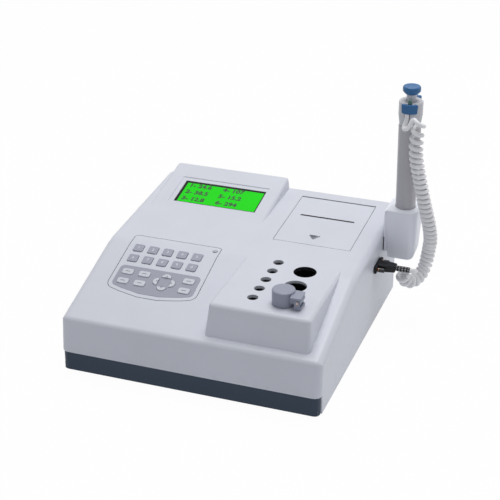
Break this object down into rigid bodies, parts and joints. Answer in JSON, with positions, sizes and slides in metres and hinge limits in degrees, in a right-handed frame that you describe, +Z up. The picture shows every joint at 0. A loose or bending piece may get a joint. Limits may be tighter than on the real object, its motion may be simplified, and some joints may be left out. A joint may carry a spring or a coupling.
{
  "type": "coagulation analyzer",
  "caption": "Sloped bench-top coagulation analyzer with green display, keypad, heated wells, capped measuring channel, printer bay and a corded pipette in a side holder.",
  "frame": {"origin": "on the bench, under the centre of the housing with its pipette holder", "axes": "+X to the user's right, +Y from the front to the back, +Z up"},
  "size_m": [0.3412, 0.299, 0.2688],
  "materials": {
    "white_key": "satin",
    "slate_plastic": "fine satin moulding",
    "blue_grey_cap": "semi-gloss",
    "copper_pin": "copper coloured, bright",
    "blue_plastic": "satin",
    "black_plastic": "satin",
    "cord_grey": "smooth sheath",
    "black_rubber": "matt",
    "aluminium": "machined",
    "grey_key": "satin",
    "circuit_board": "solder mask",
    "overlay_film": "printed film",
    "green_display": "clear window over a lit green display",
    "white_paper": "plain",
    "handle_grey": "satin",
    "pale_shell": "fine satin moulding",
    "sleeve_grey": "satin",
    "grey_lens": "polished",
    "brushed_steel": "brushed",
    "green_lens": "polished"
  },
  "bodies": {
    "housing": {"base_tray": "slate_plastic", "cap_bracket": "blue_grey_cap", "cap_pin": "copper_pin", "cord_sleeve": "black_plastic", "curly_cord": "cord_grey", "foot_1": "black_rubber", "foot_2": "black_rubber", "foot_3": "black_rubber", "foot_4": "black_rubber", "incubation_block": "aluminium", "jackscrew_back": "copper_pin", "jackscrew_front": "copper_pin", "keypad_board": "circuit_board", "keypad_overlay": "overlay_film", "lcd_module": "green_display", "main_board": "circuit_board", "measuring_block": "aluminium", "pipette_holder": "pale_shell", "plug_hood": "black_plastic", "power_inlet": "black_plastic", "power_led": "grey_lens", "power_supply": "aluminium", "printer_frame": "pale_shell", "rear_panel": "brushed_steel", "serial_port": "brushed_steel", "side_socket": "black_plastic", "switch_frame": "black_plastic", "upper_housing": "pale_shell"},
    "printer_door_body": {"printer_door": "pale_shell"},
    "cap_body": {"channel_cap": "blue_grey_cap"},
    "pipette_body": {"pipette_handle": "handle_grey", "pipette_sleeve": "sleeve_grey", "cord_clip": "blue_plastic", "signal_lamp": "green_lens"},
    "plunger_body": {"pipette_plunger": "blue_plastic"},
    "ejector_body": {"tip_ejector": "blue_plastic"},
    "roll_body": {"paper_roll": "white_paper", "roll_spindle": "black_plastic"},
    "platen_body": {"platen_roller": "black_rubber"},
    "rocker_body": {"power_rocker": "black_plastic"},
    "key_0_body": {"key_0": "grey_key"},
    "key_1_body": {"key_1": "grey_key"},
    "key_2_body": {"key_2": "grey_key"},
    "key_3_body": {"key_3": "grey_key"},
    "key_4_body": {"key_4": "grey_key"},
    "key_5_body": {"key_5": "grey_key"},
    "key_6_body": {"key_6": "grey_key"},
    "key_7_body": {"key_7": "grey_key"},
    "key_8_body": {"key_8": "grey_key"},
    "key_9_body": {"key_9": "grey_key"},
    "function_key_1_body": {"function_key_1": "white_key"},
    "function_key_2_body": {"function_key_2": "white_key"},
    "function_key_3_body": {"function_key_3": "white_key"},
    "function_key_4_body": {"function_key_4": "white_key"},
    "arrow_up_body": {"arrow_up": "white_key"},
    "arrow_down_body": {"arrow_down": "white_key"},
    "arrow_left_body": {"arrow_left": "white_key"},
    "arrow_right_body": {"arrow_right": "white_key"},
    "key_enter_body": {"key_enter": "white_key"},
    "key_escape_body": {"key_escape": "white_key"}
  },
  "joints": [
    {"name": "key_0_press", "type": "slide", "parent": "housing", "child": "key_0_body", "axis": [0, 0.2803, -0.9599], "range_m": [0, 0.0008], "stiffness_N_per_m": 400, "springref_m": -0.0004},
    {"name": "key_1_press", "type": "slide", "parent": "housing", "child": "key_1_body", "axis": [0, 0.2803, -0.9599], "range_m": [0, 0.0008], "stiffness_N_per_m": 400, "springref_m": -0.0004},
    {"name": "key_2_press", "type": "slide", "parent": "housing", "child": "key_2_body", "axis": [0, 0.2803, -0.9599], "range_m": [0, 0.0008], "stiffness_N_per_m": 400, "springref_m": -0.0004},
    {"name": "key_3_press", "type": "slide", "parent": "housing", "child": "key_3_body", "axis": [0, 0.2803, -0.9599], "range_m": [0, 0.0008], "stiffness_N_per_m": 400, "springref_m": -0.0004},
    {"name": "key_4_press", "type": "slide", "parent": "housing", "child": "key_4_body", "axis": [0, 0.2803, -0.9599], "range_m": [0, 0.0008], "stiffness_N_per_m": 400, "springref_m": -0.0004},
    {"name": "key_5_press", "type": "slide", "parent": "housing", "child": "key_5_body", "axis": [0, 0.2803, -0.9599], "range_m": [0, 0.0008], "stiffness_N_per_m": 400, "springref_m": -0.0004},
    {"name": "key_6_press", "type": "slide", "parent": "housing", "child": "key_6_body", "axis": [0, 0.2803, -0.9599], "range_m": [0, 0.0008], "stiffness_N_per_m": 400, "springref_m": -0.0004},
    {"name": "key_7_press", "type": "slide", "parent": "housing", "child": "key_7_body", "axis": [0, 0.2803, -0.9599], "range_m": [0, 0.0008], "stiffness_N_per_m": 400, "springref_m": -0.0004},
    {"name": "key_8_press", "type": "slide", "parent": "housing", "child": "key_8_body", "axis": [0, 0.2803, -0.9599], "range_m": [0, 0.0008], "stiffness_N_per_m": 400, "springref_m": -0.0004},
    {"name": "key_9_press", "type": "slide", "parent": "housing", "child": "key_9_body", "axis": [0, 0.2803, -0.9599], "range_m": [0, 0.0008], "stiffness_N_per_m": 400, "springref_m": -0.0004},
    {"name": "function_key_1_press", "type": "slide", "parent": "housing", "child": "function_key_1_body", "axis": [0, 0.2803, -0.9599], "range_m": [0, 0.0008], "stiffness_N_per_m": 400, "springref_m": -0.0004},
    {"name": "function_key_2_press", "type": "slide", "parent": "housing", "child": "function_key_2_body", "axis": [0, 0.2803, -0.9599], "range_m": [0, 0.0008], "stiffness_N_per_m": 400, "springref_m": -0.0004},
    {"name": "function_key_3_press", "type": "slide", "parent": "housing", "child": "function_key_3_body", "axis": [0, 0.2803, -0.9599], "range_m": [0, 0.0008], "stiffness_N_per_m": 400, "springref_m": -0.0004},
    {"name": "function_key_4_press", "type": "slide", "parent": "housing", "child": "function_key_4_body", "axis": [0, 0.2803, -0.9599], "range_m": [0, 0.0008], "stiffness_N_per_m": 400, "springref_m": -0.0004},
    {"name": "arrow_up_press", "type": "slide", "parent": "housing", "child": "arrow_up_body", "axis": [0, 0.2803, -0.9599], "range_m": [0, 0.0008], "stiffness_N_per_m": 400, "springref_m": -0.0004},
    {"name": "arrow_down_press", "type": "slide", "parent": "housing", "child": "arrow_down_body", "axis": [0, 0.2803, -0.9599], "range_m": [0, 0.0008], "stiffness_N_per_m": 400, "springref_m": -0.0004},
    {"name": "arrow_left_press", "type": "slide", "parent": "housing", "child": "arrow_left_body", "axis": [0, 0.2803, -0.9599], "range_m": [0, 0.0008], "stiffness_N_per_m": 400, "springref_m": -0.0004},
    {"name": "arrow_right_press", "type": "slide", "parent": "housing", "child": "arrow_right_body", "axis": [0, 0.2803, -0.9599], "range_m": [0, 0.0008], "stiffness_N_per_m": 400, "springref_m": -0.0004},
    {"name": "key_enter_press", "type": "slide", "parent": "housing", "child": "key_enter_body", "axis": [0, 0.2803, -0.9599], "range_m": [0, 0.0008], "stiffness_N_per_m": 400, "springref_m": -0.0004},
    {"name": "key_escape_press", "type": "slide", "parent": "housing", "child": "key_escape_body", "axis": [0, 0.2803, -0.9599], "range_m": [0, 0.0008], "stiffness_N_per_m": 400, "springref_m": -0.0004},
    {"name": "printer_door_hinge", "type": "hinge", "parent": "housing", "child": "printer_door_body", "pos_m": [0.0574, 0.13042, 0.10498], "axis": [-1, 0, 0], "range_deg": [0, 95]},
    {"name": "channel_cap_hinge", "type": "hinge", "parent": "housing", "child": "cap_body", "pos_m": [0.08715, -0.107, 0.1083], "axis": [0, 1, 0], "range_deg": [0, 105]},
    {"name": "pipette_lift", "type": "slide", "parent": "housing", "child": "pipette_body", "axis": [0, 0, 1], "range_m": [0, 0.06], "deforming": ["curly_cord"]},
    {"name": "plunger_press", "type": "slide", "parent": "pipette_body", "child": "plunger_body", "axis": [0, 0, -1], "range_m": [0, 0.007], "stiffness_N_per_m": 500, "springref_m": -0.002},
    {"name": "ejector_press", "type": "slide", "parent": "pipette_body", "child": "ejector_body", "axis": [0, 0, -1], "range_m": [0, 0.006], "stiffness_N_per_m": 400, "springref_m": -0.002},
    {"name": "roll_turn", "type": "hinge", "parent": "housing", "child": "roll_body", "pos_m": [0.05715, 0.06005, 0.07437], "axis": [1, 0, 0], "continuous": true},
    {"name": "platen_turn", "type": "hinge", "parent": "housing", "child": "platen_body", "pos_m": [0.05715, 0.08989, 0.09199], "axis": [1, 0, 0], "continuous": true},
    {"name": "rocker_tip", "type": "hinge", "parent": "housing", "child": "rocker_body", "pos_m": [0.03515, 0.1442, 0.0373], "axis": [-1, 0, 0], "range_deg": [0, 20]}
  ],
  "couplings": [
    {"joint": "platen_turn", "follows": "roll_turn", "ratio": 3.6667}
  ]
}
